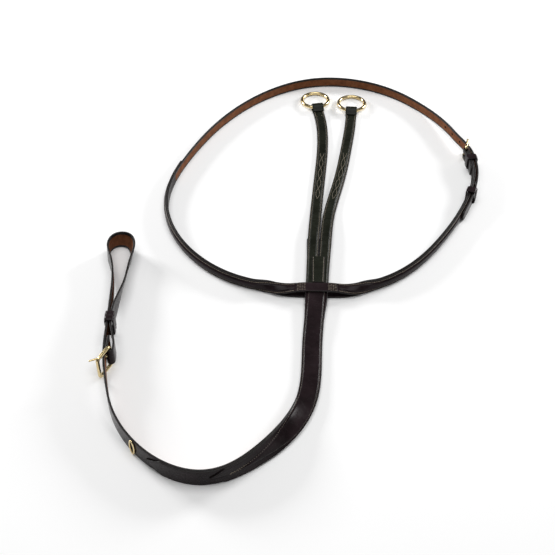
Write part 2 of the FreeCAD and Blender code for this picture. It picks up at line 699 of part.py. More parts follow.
def build():
    neck_z = neck_height(0)
    neck_heel = NECK.offset(0, NECK_HEEL_OFFSET)
    neck_angle = NECK.angle(0) + 180 + NECK_FRAME_TURN
    girth_z = centre_height(CENTRE.nearest(GIRTH_HOLE))
    nodes = {
        "neck_lining": neck_lining(),
        "neck_raised_ply_right": neck_raised(NECK_RIGHT),
        "neck_raised_ply_left": neck_raised(NECK_LEFT),
        "neck_core_right": neck_core(NECK_RIGHT),
        "neck_core_left": neck_core(NECK_LEFT),
        "neck_loop_band": neck_loop_band(),
        "neck_billet": neck_billet(),
        "neck_chape": neck_chape(),
        "neck_fixed_keeper": neck_keeper(NECK_FIXED_KEEPER, FIXED_SLACK),
        "neck_running_keeper": neck_keeper(NECK_RUNNING_KEEPER, RUNNING_SLACK),
        "neck_buckle_frame": buckle_frame(neck_heel, neck_angle, NECK_FRAME, NECK_WIRE, neck_z),
        "neck_buckle_tongue": tongue(neck_heel, neck_angle, NECK_TONGUE, NECK_TONGUE_OFFSET, NECK_WIRE,
                                     neck_z),
        "girth_strap": girth_strap(),
        "chest_second_ply": second_ply(),
        "chest_raised_ply": chest_raised(),
        "chest_core": chest_core(),
        "chest_oval_ring": chest_ring(),
        "yoke_cover": yoke_cover(),
        "girth_buckle_frame": buckle_frame(GIRTH_HEEL, GIRTH_FRAME_ANGLE, GIRTH_FRAME, GIRTH_WIRE, girth_z),
        "girth_buckle_tongue": tongue(GIRTH_HEEL, GIRTH_TONGUE_ANGLE, GIRTH_TONGUE, 0, GIRTH_WIRE, girth_z),
        "girth_keeper": girth_keeper(),
    }
    nodes.update(fork_nodes("left", FORK_LEFT))
    nodes.update(fork_nodes("right", FORK_RIGHT))
    return nodes


os.makedirs("parts", exist_ok=True)
for name, shape in build().items():
    shape.translate(V(SHIFT[0], SHIFT[1], 0))
    shape.exportStep(f"parts/{name}.step")
    box = shape.BoundBox
    print(f"{name:24s} solids {len(shape.Solids)} valid {shape.isValid()} volume {shape.Volume:9.0f} "
          f"x {box.XMin:.1f} {box.XMax:.1f} y {box.YMin:.1f} {box.YMax:.1f} z {box.ZMin:.2f} {box.ZMax:.2f}")
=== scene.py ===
"""Looks of the running martingale. Lengths are millimetres until a mesh is made."""
import math

import bpy
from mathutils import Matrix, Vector


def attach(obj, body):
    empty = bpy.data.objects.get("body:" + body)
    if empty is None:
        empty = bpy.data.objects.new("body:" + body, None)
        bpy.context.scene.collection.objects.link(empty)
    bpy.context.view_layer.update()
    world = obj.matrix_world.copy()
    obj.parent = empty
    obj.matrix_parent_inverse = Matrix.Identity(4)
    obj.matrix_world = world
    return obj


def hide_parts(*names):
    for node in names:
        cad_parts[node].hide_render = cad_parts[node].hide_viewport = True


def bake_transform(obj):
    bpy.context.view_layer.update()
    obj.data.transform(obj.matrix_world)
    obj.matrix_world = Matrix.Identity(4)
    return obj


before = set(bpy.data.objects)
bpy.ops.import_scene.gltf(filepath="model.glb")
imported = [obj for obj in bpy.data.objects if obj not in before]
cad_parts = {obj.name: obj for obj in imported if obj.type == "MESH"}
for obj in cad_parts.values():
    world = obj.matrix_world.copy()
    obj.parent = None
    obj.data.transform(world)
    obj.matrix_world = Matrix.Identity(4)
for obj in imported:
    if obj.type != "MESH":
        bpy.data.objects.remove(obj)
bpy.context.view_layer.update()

MM = 0.001

# Driving sizes, most of them the CAD model's. The neck buckle's slots and the running keeper
# are a little larger here.
SHIFT = (27.4, -70.0)           # moves the middle of the whole object to the origin
CROSSING = (-7.0, -8.0)         # where the neck strap crosses the centre strap
NECK_WIDTH = 16.0
NECK_LINING = 2.4
NECK_PLY = 2.0
NECK_SEAM = 5.7                 # the neck's stitching, from the middle of the strap
NECK_START = 4.0                # from the heel bar to the end of the lining
NECK_RAISED_START = 25.0
NECK_LAP = 30.0                 # how far the left raised ply covers the billet
NECK_RIDGE = (0.8, 7.2)         # width at its point, and how much wider it is elsewhere
NECK_POINT = 14.0               # the ridge widens over this length
NECK_SWELL = 11.0               # and rises over this one
NECK_FLAT = 27.0                # flat this near the crossing
NECK_ON_EDGE = 85.0             # and on edge this far from it
BAND_STITCH_START = 15.5        # from the crossing to the band's first column of stitches
BAND_STITCH_PITCH = (2.9, 2.6)  # along the strap, and across it
NECK_BUCKLE_LIFT = 5.4
NECK_LIFT_SPAN = (25.0, 150.0)
BILLET_TAIL = 136.0
BILLET_STEP = 6.6
BILLET_STEP_SPAN = (-45.0, 8.0)
BILLET_SLOT_PLACE = -6.5
BILLET_SLOT = (6.5, 2.1)        # half length and half height
BILLET_HOLE = 1.7
GIRTH_SLOT = (4.5, 1.9)
GIRTH_HOLE_HALF = 1.9
CHAPE_SLOT = (7.0, 2.5)
CHAPE_SLOT_DEPTH = 9.9
CHAPE_LENGTH = 45.0
CHAPE_CLEAR = (0.3, 1.1)        # from the lining, and how much more near the heel bar
CHAPE_SEAM = 5.9
HOLE_PITCH = 20.0
HOLE_DEPTH = 4.0
KEEPER_WALL = 1.5
# start, end, inner face, outer face and width inside
NECK_FIXED_KEEPER = (14.0, 24.5, -5.2, 7.2, NECK_WIDTH + 0.8)
NECK_RUNNING_KEEPER = (83.0, 94.0, -3.6, 7.7, NECK_WIDTH + 2.4)
CENTRE_WIDTH = 25.0
YOKE_WIDTH = 28.5
BASE = 2.6
SECOND = 1.8
RAISED = 1.6
GIRTH_LIFT = 6.0
GIRTH_RISE_SPAN = (-245.0, -160.0)
GIRTH_FALL_SPAN = (-60.0, 40.0)
CROSSING_LIFT = 2.7
CROSSING_SPAN = (-97.0, -36.0)
YOKE_SPAN = (-60.0, -20.0)
FLARE_SPAN = (20.0, 80.0)
FORK_WIDTH = 16.0
FORK_NARROWING = 1.6
FORK_NARROW_SPAN = (18.0, 90.0)
FORK_RIDGE = 9.4
FORK_RIDGE_LOSS = 5.5           # how much narrower the ridge is at the fold
FORK_BULGE_LOSS = 0.75          # share of the bulge lost there
FORK_POINT = 16.0               # the ridge narrows over this length before the fold
FORK_SEAM = 5.9
FORK_FLAT_Y = 165.0             # beyond here the forks lie on the ground
FANCY_SPAN = (168.0, 266.0)     # the crossed waves of stitching
FANCY_REACH = 2.6
FANCY_WAVES = 4.5
FORK_LINING = 2.0
FORK_PLY = 2.0
FORK_FLEX_Y = 92.0              # line across the yoke where the forks bend upwards
FOLD_HOLE = 3.8                 # radius inside the turned leather that holds a rein ring
FOLD_WIDTH = 17.0
FOLD_BACK = 10.5
NECK_BAND_HALF = 26.0
NECK_BAND_LIFT = 8.5
NECK_PARTING = (14.0, 62.0)     # the outer plies come down over this stretch from the crossing
YOKE_FLARE = 3.5
PLY_TIP = 1.6                   # width left where a ply is cut to a V
CHEST_RIDGE = 17.0
CHEST_POINT = 100.0
CHEST_FADE = (-30.0, 2.0)       # the bulge sinks here, measured from the ridge's tip
CHEST_SEAM = 9.95               # the chest's stitching, from the middle of the strap
CHEST_V = 17.0
SECOND_V = 21.0
LOOP_TURN = (-265.0, 64.0)
LOOP_RADIUS = 15.5
GIRTH_LEAN = (3.0, 15.0)        # degrees that the loop's two sides lean towards the forks
LEAN_SPAN = (-58.0, -5.0)
GIRTH_HEEL = (-258.0, -126.0)
GIRTH_HOLE = (-265.0, -128.8)
GIRTH_KEEPER = (-265.5, -75.0)
GIRTH_KEEPER_HALF = 8.0
GIRTH_KEEPER_FACES = (-6.4, 2.2)
YOKE_Y = 1.2
COVER_Y = 48.0
COVER_WIDTH = 17.0
COVER_NARROWING = 1.8
COVER_PRESS = (0.9, 2.6)        # how deep its edges sink, and over what width
NECK_WIRE = 1.6
NECK_FRAME = (20.2, 10.8)       # length and half height
NECK_FRAME_TURN = -25.5
NECK_TONGUE = (22.5, 1.1)       # reach and half thickness
NECK_TONGUE_OFFSET = -2.9
GIRTH_WIRE = 2.2
GIRTH_FRAME = (24.5, 15.8)
GIRTH_FRAME_ANGLE = -118.0
GIRTH_TONGUE = (27.0, 1.5)
GIRTH_TONGUE_ANGLE = -158.0
FRAME_CORNER = 4.0
OVAL_PLACE = (-218.0, -253.0)
OVAL_WIRE = 1.1
OVAL_HALF = (4.0, 11.2)         # along and across the strap
RING_RADIUS = 20.0
RING_WIRE = 2.5
RING_REACH = 19.05              # from the fold's middle to the ring's
GAP = 0.3                       # clearance between pieces that move against each other
BULGE = 1.8                     # height of the padding under each raised ply
STITCH = 3.0                    # from one stitch to the next
THREAD = 0.28                   # half the thickness of the thread
CLOSE_STITCH_AND_HIGHLIGHT = 0.97              # share of the pitch that a close stitch covers; these nearly closed rows of light thread also paint in the highlight lines along the grooves
ROUNDING = 0.7                  # radius of a strap's edges
CREASE_PLACE = 1.7              # the pressed line, from the strap's edge
CREASE = (0.22, 0.3)            # its depth and half width
GROOVE = (0.25, 0.42)           # the stitching groove's depth and half width
RIDGE_SIDE = 0.9                # half the width over which a ridge comes down
RIDGE_CROWN = 0.14              # share of the bulge that it loses before that

NECK_POINTS = [(216, 258), (220, 215), (200, 148), (160, 80), (107, 22), (50, -5), (-7, -8), (-65, -4),
               (-110, 9), (-188, 80), (-211, 165), (-185, 260), (-87, 395), (0, 437), (108, 416),
               (205, 295)]
NECK_JOIN_PLACE = (-205, 210)
CHEST_POINTS = [(-2, 88), (-7, -8), (-15, -100), (-24, -184), (-43, -225), (-80, -266), (-140, -295),
                (-185, -282.5), (-222, -251), (-249, -206), (-258, -172), (-263, -145), (-265.5, -115),
                (-265.5, -75), (-266.5, -30), (-269, 5), (-275, 36)]
GIRTH_RETURN_POINTS = [(-251, 36), (-254, 0), (-259.5, -45), (-262, -74), (-261, -86), (-257, -102)]
GIRTH_END_POINTS = [(-261.4, -114), (-261.6, -105)]
FORK_LEFT_POINTS = [(-14.1, YOKE_Y), (-8.6, FORK_FLEX_Y), (2, 210), (9, 292), (8, 345), (3.5, 377)]
FORK_RIGHT_POINTS = [(0.9, YOKE_Y), (8, FORK_FLEX_Y), (13, 135), (30, 210), (45, 292), (52, 340),
                     (54.6, 368.5)]


def smooth(x, low, high):
    t = min(1.0, max(0.0, (x - low) / (high - low)))
    return t * t * (3 - 2 * t)


# Materials

def new_material(name, roughness, metallic=0.0):
    material = bpy.data.materials.new(name)
    material.use_nodes = True
    shader = material.node_tree.nodes["Principled BSDF"]
    shader.inputs["Roughness"].default_value = roughness
    shader.inputs["Metallic"].default_value = metallic
    return material, shader


def noise(material, scale, detail=3.0, roughness=0.55, stretch=None):
    nodes, links = material.node_tree.nodes, material.node_tree.links
    place = nodes.new("ShaderNodeTexCoord")
    texture = nodes.new("ShaderNodeTexNoise")
    texture.inputs["Scale"].default_value = scale
    texture.inputs["Detail"].default_value = detail
    texture.inputs["Roughness"].default_value = roughness
    if stretch:
        mapping = nodes.new("ShaderNodeMapping")
        mapping.inputs["Scale"].default_value = stretch
        links.new(place.outputs["Object"], mapping.inputs["Vector"])
        links.new(mapping.outputs["Vector"], texture.inputs["Vector"])
    else:
        links.new(place.outputs["Object"], texture.inputs["Vector"])
    return texture.outputs["Fac"]


def cells(material, scale):
    nodes, links = material.node_tree.nodes, material.node_tree.links
    place = nodes.new("ShaderNodeTexCoord")
    texture = nodes.new("ShaderNodeTexVoronoi")
    texture.feature = "DISTANCE_TO_EDGE"
    texture.inputs["Scale"].default_value = scale
    links.new(place.outputs["Object"], texture.inputs["Vector"])
    return texture.outputs["Distance"]


def ramp(material, source, stops):
    node = material.node_tree.nodes.new("ShaderNodeValToRGB")
    for element, (position, colour) in zip(node.color_ramp.elements, (stops[0], stops[-1])):
        element.position, element.color = position, (*colour, 1)
    for position, colour in stops[1:-1]:
        element = node.color_ramp.elements.new(position)
        element.color = (*colour, 1)
    material.node_tree.links.new(source, node.inputs["Fac"])
    return node.outputs["Color"]


def bump(material, shader, sources):
    """Stacks bumps, each (source, strength, distance in millimetres)."""
    nodes, links = material.node_tree.nodes, material.node_tree.links
    last = None
    for source, strength, depth in sources:
        node = nodes.new("ShaderNodeBump")
        node.inputs["Strength"].default_value = strength
        node.inputs["Distance"].default_value = depth * MM
        links.new(source, node.inputs["Height"])
        if last:
            links.new(last, node.inputs["Normal"])
        last = node.outputs["Normal"]
    links.new(last, shader.inputs["Normal"])


def grain_leather(name, dark, light, gloss):
    """Finished grain side: nearly black, glossy, with fine pores and faint creases."""
    material, shader = new_material(name, gloss)
    links = material.node_tree.links
    stops = [(0.3, dark), (0.72, light)]
    links.new(ramp(material, noise(material, 38, 4), stops), shader.inputs["Base Color"])
    stops = [(0.3, (gloss - 0.06,) * 3), (0.75, (gloss + 0.1,) * 3)]
    links.new(ramp(material, noise(material, 160, 4), stops), shader.inputs["Roughness"])
    shader.inputs["IOR"].default_value = 1.2
    bump(material, shader, [(cells(material, 1500), 0.2, 0.04), (noise(material, 420, 4), 0.25, 0.06)])
    return material


def flesh_leather():
    """Suede-like inner side."""
    material, shader = new_material("flesh_leather", 0.78)
    links = material.node_tree.links
    stops = [(0.25, (0.085, 0.026, 0.008)), (0.5, (0.16, 0.055, 0.019)), (0.8, (0.25, 0.10, 0.042))]
    links.new(ramp(material, noise(material, 120, 6, 0.7), stops), shader.inputs["Base Color"])
    shader.inputs["Specular IOR Level"].default_value = 0.2
    nap, fibre = noise(material, 900, 5, 0.7), noise(material, 2400, 3)
    bump(material, shader, [(nap, 0.5, 0.12), (fibre, 0.4, 0.05)])
    return material


def cut_edge():
    """Burnished, dyed edge, a little uneven."""
    material, shader = new_material("edge_leather", 0.42)
    links = material.node_tree.links
    stops = [(0.3, (0.005, 0.004, 0.004)), (0.8, (0.018, 0.014, 0.013))]
    links.new(ramp(material, noise(material, 300, 4), stops), shader.inputs["Base Color"])
    shader.inputs["Specular IOR Level"].default_value = 0.25
    bump(material, shader, [(noise(material, 700, 5), 0.5, 0.1)])
    return material


def brass():
    material, shader = new_material("polished_brass", 0.2, 1.0)
    links = material.node_tree.links
    stops = [(0.3, (0.62, 0.47, 0.22)), (0.75, (0.84, 0.70, 0.42))]
    links.new(ramp(material, noise(material, 90, 4), stops), shader.inputs["Base Color"])
    stops = [(0.35, (0.14,) * 3), (0.75, (0.32,) * 3)]
    links.new(ramp(material, noise(material, 260, 5), stops), shader.inputs["Roughness"])
    bump(material, shader, [(noise(material, 600, 3), 0.12, 0.04)])
    return material


def thread():
    material, shader = new_material("waxed_thread_and_painted_highlight", 0.6)
    links = material.node_tree.links
    # Light tan: the stitching's own colour, made light enough to also paint in the highlight lines along
    # the ridges' grooves.
    stops = [(0.3, (0.20, 0.165, 0.125)), (0.75, (0.42, 0.36, 0.275))]
    links.new(ramp(material, noise(material, 500, 3), stops), shader.inputs["Base Color"])
    bump(material, shader, [(noise(material, 3200, 2, 0.5, (1, 0.3, 1)), 0.6, 0.08)])
    return material


GRAIN = grain_leather("grain_leather", (0.0075, 0.0045, 0.0052), (0.021, 0.0135, 0.0155), 0.24)
OLIVE = grain_leather("fork_leather", (0.0065, 0.0075, 0.005), (0.017, 0.0185, 0.013), 0.26)
LINING = grain_leather("lining_leather", (0.006, 0.004, 0.0038), (0.016, 0.010, 0.009), 0.36)
FLESH = flesh_leather()
EDGE = cut_edge()
BRASS = brass()
THREAD_AND_HIGHLIGHT_MATERIAL = thread()
STRAP_MATERIALS = (GRAIN, EDGE, LINING, FLESH)
FORK_MATERIALS = (OLIVE, EDGE, LINING, FLESH)
FACE, SIDE, BACK, BROWN = 0, 1, 2, 3    # places in those lists


# Routes

class Route:
    """A natural cubic spline through plan points, measured by its length."""

    def __init__(self, points, closed=False):
        self.closed = closed
        wrap = 4 if closed else 0
        pts = [tuple(map(float, p)) for p in points]
        if closed:
            pts = pts[-wrap:] + pts + pts[:wrap + 1]
        knots = [0.0]
        for a, b in zip(pts, pts[1:]):
            knots.append(knots[-1] + math.dist(a, b))
        bends = [self.second_derivatives(knots, [p[k] for p in pts]) for k in (0, 1)]
        first, last = wrap, len(pts) - 1 - wrap
        self.samples = []
        for i in range(first, last):
            h = knots[i + 1] - knots[i]
            steps = max(4, int(h / 1.5))
            for j in range(steps + (1 if i == last - 1 else 0)):
                b = j / steps
                a = 1 - b
                sample = []
                for k in (0, 1):
                    straight = a * pts[i][k] + b * pts[i + 1][k]
                    bent = (a ** 3 - a) * bends[k][i] + (b ** 3 - b) * bends[k][i + 1]
                    sample.append(straight + bent * h * h / 6)
                self.samples.append(tuple(sample))
        self.lengths = [0.0]
        for a, b in zip(self.samples, self.samples[1:]):
            self.lengths.append(self.lengths[-1] + math.dist(a, b))
        self.length = self.lengths[-1]

    @staticmethod
    def second_derivatives(knots, values):
        n = len(knots)
        upper = [0.0] * n
        right = [0.0] * n
        for i in range(1, n - 1):
            h0 = knots[i] - knots[i - 1]
            h1 = knots[i + 1] - knots[i]
            slope = (values[i + 1] - values[i]) / h1 - (values[i] - values[i - 1]) / h0
            pivot = 2 * (h0 + h1) - h0 * upper[i - 1]
            upper[i] = h1 / pivot
            right[i] = (6 * slope - h0 * right[i - 1]) / pivot
        bends = [0.0] * n
        for i in range(n - 2, 0, -1):
            bends[i] = right[i] - upper[i] * bends[i + 1]
        return bends

    def point(self, s):
        if self.closed:
            s = s % self.length
        s = min(max(s, 0.0), self.length)
        low, high = 0, len(self.lengths) - 1
        while high - low > 1:
            mid = (low + high) // 2
            if self.lengths[mid] <= s:
                low = mid
            else:
                high = mid
        t = (s - self.lengths[low]) / (self.lengths[high] - self.lengths[low])
        a, b = self.samples[low], self.samples[high]
        return (a[0] + (b[0] - a[0]) * t, a[1] + (b[1] - a[1]) * t)

    def tangent(self, s):
        reach = 1.5
        if self.closed:
            a, b = self.point(s - reach), self.point(s + reach)
        else:
            a, b = self.point(max(0, s - reach)), self.point(min(self.length, s + reach))
        d = math.dist(a, b)
        return ((b[0] - a[0]) / d, (b[1] - a[1]) / d)

    def offset(self, s, d):
        p, t = self.point(s), self.tangent(s)
        return (p[0] - t[1] * d, p[1] + t[0] * d)

    def nearest(self, point):
        best = min(range(len(self.samples)), key=lambda i: math.dist(self.samples[i], point))
        return self.lengths[best]

    def nearest_y(self, y):
        best = min(range(len(self.samples)), key=lambda i: abs(self.samples[i][1] - y))
        return self.lengths[best]


def spot(p, z):
    """A plan point, moved to where the CAD model lies, at height z."""
    return Vector((p[0] + SHIFT[0], p[1] + SHIFT[1], z))


class Lay:
    """How a strap lies: a route, its roll and its height. It turns strap measures into a place."""

    def __init__(self, route, roll, height):
        self.route, self.roll, self.height = route, roll, height

    def axes(self, s):
        t = self.route.tangent(s)
        c, k = math.cos(math.radians(self.roll(s))), math.sin(math.radians(self.roll(s)))
        along = Vector((t[0], t[1], 0))
        across = Vector((-t[1] * c, t[0] * c, -k))
        out = Vector((-t[1] * k, t[0] * k, c))
        return along, across, out

    def place(self, s, w, d):
        across, out = self.axes(s)[1:]
        return spot(self.route.point(s), self.height(s)) + across * w + out * d


# Meshes

def make_mesh(name, points, faces, materials, indices=None):
    mesh = bpy.data.meshes.new(name)
    mesh.from_pydata([tuple(p * MM) for p in points], [], faces)
    for material in materials:
        mesh.materials.append(material)
    if indices:
        mesh.polygons.foreach_set("material_index", indices)
    mesh.polygons.foreach_set("use_smooth", [True] * len(mesh.polygons))
    mesh.validate()
    mesh.update()
    piece = bpy.data.objects.new(name, mesh)
    bpy.context.scene.collection.objects.link(piece)
    return piece


def skin(rows, size, closed=False):
    """Faces between rows of size points each. A closed skin joins its last row to its first."""
    faces = []
    for r in range(rows if closed else rows - 1):
        ahead = (r + 1) % rows * size
        for k in range(size):
            n = (k + 1) % size
            faces.append((r * size + k, r * size + n, ahead + n, ahead + k))
    if not closed:
        last = (rows - 1) * size
        faces.append(tuple(range(size - 1, -1, -1)))
        faces.append(tuple(last + k for k in range(size)))
    return faces


def strap_outline(width, low, high, crown, inset, back, samples=34):
    """Closed section of a ply: (across, outwards, material) points. crown(w) adds to the outer face."""
    half = width / 2 - inset
    radius = min(ROUNDING, (high - low) * 0.45)
    low, high = low + inset * 0.4, high - inset * 0.4
    points = []
    for k in range(samples + 1):
        w = -half + radius + (2 * half - 2 * radius) * k / samples
        points.append((w, high + crown(w), FACE))
    for k in range(1, 4):
        a = math.radians(90 - 30 * k)
        points.append((half - radius + radius * math.cos(a), high - radius + radius * math.sin(a), SIDE))
    for k in range(0, 4):
        a = math.radians(-30 * k)
        points.append((half - radius + radius * math.cos(a), low + radius + radius * math.sin(a), SIDE))
    for k in range(1, 8):
        w = half - radius - (2 * half - 2 * radius) * k / 8
        points.append((w, low, back))
    for k in range(0, 4):
        a = math.radians(-90 - 30 * k)
        points.append((-half + radius + radius * math.cos(a), low + radius + radius * math.sin(a), SIDE))
    for k in range(0, 3):
        a = math.radians(180 - 30 * k)
        points.append((-half + radius + radius * math.cos(a), high - radius + radius * math.sin(a), SIDE))
    return points


def flat(w):
    return 0.0


def edge_crease(width):
    """A fine line pressed in beside each edge."""
    depth, half = CREASE

    def crown(w):
        d = width / 2 - CREASE_PLACE - abs(w)
        return -depth * math.exp(-(d / half) ** 2)
    return crown


def raised(ridge, bulge, groove):
    """A padded middle with a stitching groove on each side."""
    depth, half = GROOVE

    def crown(w):
        x = abs(w)
        blend = 1 - smooth(x, ridge / 2 - RIDGE_SIDE, ridge / 2 + RIDGE_SIDE)
        line = depth * math.exp(-((x - groove) / half) ** 2)
        return max(0.0, bulge * (1 - RIDGE_CROWN * (x / (ridge / 2)) ** 2)) * blend - line
    return crown


def ribbon(name, lay, start, end, section, step=2.0, materials=STRAP_MATERIALS):
    """A strap's mesh: section(s, inset) outlines set along the lay, closed at both ends."""
    count = max(2, int(math.ceil((end - start) / step)))
    places = [start, start + 0.15, start + 0.5]
    places += [start + (end - start) * k / count for k in range(1, count)]
    places += [end - 0.5, end - 0.15, end]
    places = sorted(places)
    points = []
    for s in places:
        near = min(s - start, end - s, ROUNDING)
        inset = ROUNDING - math.sqrt(max(0.0, ROUNDING ** 2 - (ROUNDING - near) ** 2))
        points += [lay.place(s, w, d) for w, d, m in section(s, inset)]
    marks = [m for w, d, m in section(start, 0)]
    row = [m if m == after else SIDE for m, after in zip(marks, marks[1:] + marks[:1])]
    indices = row * (len(places) - 1) + [SIDE, SIDE]
    return make_mesh(name, points, skin(len(places), len(marks)), materials, indices)


def add_stitch(points, faces, centre, along, across, out, long, thick):
    """One stitch: a fat grain of thread."""
    base = len(points)
    rings, sides = 4, 6
    points.append(centre - along * long / 2)
    for r in range(1, rings):
        a = math.pi * r / rings
        for k in range(sides):
            b = 2 * math.pi * k / sides
            points.append(centre - along * long / 2 * math.cos(a)
                          + (across * math.cos(b) + out * math.sin(b)) * thick * math.sin(a) ** 0.6)
    points.append(centre + along * long / 2)
    for k in range(sides):
        faces.append((base, base + 1 + (k + 1) % sides, base + 1 + k))
    for r in range(rings - 2):
        for k in range(sides):
            a, b = base + 1 + r * sides + k, base + 1 + r * sides + (k + 1) % sides
            faces.append((a, b, b + sides, a + sides))
    last = base + 1 + (rings - 2) * sides
    for k in range(sides):
        faces.append((last + k, last + (k + 1) % sides, len(points) - 1))


def stitches(name, lay, lines, cover=0.82):
    """Rows of stitches, which cover a share of their pitch.

    Each line is (start, end, across(s), outwards(s)), and may cross the strap.
    """
    points, faces = [], []
    for start, end, across_at, out_at in lines:
        s = start + STITCH / 2
        while s < end:
            ahead, behind = s + 0.4, s - 0.4
            a = lay.place(behind, across_at(behind), out_at(behind))
            b = lay.place(ahead, across_at(ahead), out_at(ahead))
            along = (b - a).normalized()
            out = lay.axes(s)[2]
            side = along.cross(out).normalized()
            slant = (along + side * 0.12).normalized()
            add_stitch(points, faces, (a + b) / 2, slant, side, out, STITCH * cover, THREAD)
            slope = (b - a).length / 0.8
            s += STITCH / max(1.0, slope)
    return make_mesh(name, points, faces, [THREAD_AND_HIGHLIGHT_MATERIAL])


def closed_sweep(name, path, normals, across, section, materials):
    """A loop of material: section (out, along) points carried round a closed path."""
    points = []
    for p, n in zip(path, normals):
        points += [p + n * o + across * a for o, a in section]
    return make_mesh(name, points, skin(len(path), len(section), True), materials)


def keeper(name, lay, start, end, low, high, width, ridges=1):
    """A leather loop round the strap, its edges rounded, its outer face creased into ridges."""
    middle = (start + end) / 2
    along, across, out = lay.axes(middle)
    centre = lay.place(middle, 0, (low + high) / 2)
    half_w, half_d, corner = width / 2, (high - low) / 2, 1.6
    path, normals = [], []
    for cx, cy, first in ((1, 1, 0), (-1, 1, 90), (-1, -1, 180), (1, -1, 270)):
        for k in range(7):
            a = math.radians(first + 15 * k)
            n = across * math.cos(a) + out * math.sin(a)
            turn = centre + across * cx * (half_w - corner) + out * cy * (half_d - corner)
            path.append(turn + n * corner)
            normals.append(n)
    half = (end - start) / 2
    wall, r = KEEPER_WALL, 0.5
    section = [(0, -half + r), (r * 0.3, -half), (wall - r, -half), (wall, -half + r)]
    inner, steps = half - 1.4, 12 * ridges
    for k in range(steps + 1):
        swell = abs(math.sin(math.pi * ridges * k / steps)) ** 0.5
        section.append((wall - 0.3 + (0.25 + 0.2 * ridges) * swell, -inner + 2 * inner * k / steps))
    section += [(wall, half - r), (wall - r, half), (r * 0.3, half), (0, half - r)]
    return closed_sweep(name, path, normals, along, section, [GRAIN])


# Neck strap

NECK = Route(NECK_POINTS, closed=True)
NECK_CROSS = NECK.nearest(CROSSING)
NECK_JOIN = NECK.nearest(NECK_JOIN_PLACE)


def neck_roll(s):
    return 90 * smooth(abs(s % NECK.length - NECK_CROSS), NECK_FLAT, NECK_ON_EDGE)


def neck_height(s):
    along = (s + NECK.length / 2) % NECK.length - NECK.length / 2
    lift = NECK_BUCKLE_LIFT * (1 - smooth(abs(along), *NECK_LIFT_SPAN))
    r = math.radians(neck_roll(s))
    return NECK_LINING * math.cos(r) + NECK_WIDTH / 2 * math.sin(r) + lift


def parting(s):
    return NECK_BAND_LIFT * (1 - smooth(abs(s - NECK_CROSS), *NECK_PARTING))


def billet_offset(s):
    first, last = BILLET_STEP_SPAN
    return -NECK_LINING / 2 + BILLET_STEP * smooth(s, NECK.length + first, NECK.length + last)


NECK_LAY = Lay(NECK, neck_roll, neck_height)


def build_neck_lining():
    piece = ribbon("neck_lining_strap", NECK_LAY, NECK_START, NECK_JOIN,
                   lambda s, i: strap_outline(NECK_WIDTH, -NECK_LINING, 0, flat, i, BACK))
    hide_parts("neck_lining")
    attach(piece, "neck_strap")


def build_neck_raised(side, start, end):
    """One raised half of the neck strap, which leaves the lining near the crossing."""
    def section(s, inset):
        tip = min(s - start, end - s)
        ridge = NECK_RIDGE[0] + NECK_RIDGE[1] * smooth(tip, 0, NECK_POINT)
        crown = raised(ridge, BULGE * smooth(tip, 0, NECK_SWELL), NECK_SEAM)
        low = parting(s)
        return strap_outline(NECK_WIDTH - 0.3, low, low + NECK_PLY, crown, inset, BACK)

    def top(s):
        return parting(s) + NECK_PLY - 0.05

    piece = ribbon(f"neck_raised_{side}_strap", NECK_LAY, start, end, section)
    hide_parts(f"neck_raised_ply_{side}", f"neck_core_{side}")
    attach(piece, "neck_strap")
    # Close rows of light thread: real stitching that also paints in the highlight lines beside the ridge.
    rows = [(start + 3, end - 3, lambda s, k=k: NECK_SEAM * k, top) for k in (-1, 1)]
    row = stitches(f"neck_stitching_{side}", NECK_LAY, rows, CLOSE_STITCH_AND_HIGHLIGHT)
    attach(row, "neck_strap")


def build_neck_band():
    """The flat stretch over the centre strap, closely stitched at both ends."""
    width = NECK_WIDTH - 0.4

    def section(s, inset):
        low = parting(s)
        return strap_outline(width, low, low + NECK_PLY, edge_crease(width), inset, BACK)

    def top(s):
        return parting(s) + NECK_PLY

    first, last = NECK_CROSS - NECK_BAND_HALF, NECK_CROSS + NECK_BAND_HALF
    piece = ribbon("neck_loop_band_strap", NECK_LAY, first, last, section, 0.8)
    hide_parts("neck_loop_band")
    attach(piece, "neck_strap")
    rows = []
    along_pitch, across_pitch = BAND_STITCH_PITCH
    for side in (-1, 1):
        for column in range(4):
            u = NECK_CROSS + side * (BAND_STITCH_START + along_pitch * column)
            for k in range(5):
                across = -5.4 + across_pitch * k + 0.6 * (column % 2)
                rows.append((u - 1.2, u + 1.2, lambda s, v=across: v, top))
    row = stitches("neck_loop_stitching", NECK_LAY, rows)
    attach(row, "neck_strap")


def rounded_end(left, reach, share, least):
    """The neck strap's width where it runs to a rounded end; left is the length still to go."""
    half = NECK_WIDTH / 2
    narrow = 0
    if left <= reach:
        narrow = half - math.sqrt(max(0.0, half ** 2 - (half - left * half / reach) ** 2))
    return max(least, NECK_WIDTH - 2 * narrow * share)


def build_billet():
    """Plain strap with grain outside and brown flesh inside, running to a rounded tip."""
    end = NECK.length + BILLET_TAIL

    def section(s, inset):
        width = rounded_end(max(0.0, end - s), 9, 0.95, 1.8)
        outline = strap_outline(width, -NECK_LINING / 2, NECK_LINING / 2, edge_crease(width), inset, BROWN)
        return [(w, d + billet_offset(s), m) for w, d, m in outline]

    piece = ribbon("neck_billet_strap", NECK_LAY, NECK_JOIN, end, section)
    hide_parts("neck_billet")
    for k in range(-4, 4):
        s = NECK.length + BILLET_SLOT_PLACE - HOLE_PITCH * k
        half_long, half_tall = BILLET_SLOT if k == 0 else (BILLET_HOLE, BILLET_HOLE)
        cut_hole(piece, NECK_LAY, s, billet_offset(s), half_long, half_tall)
    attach(piece, "neck_strap")


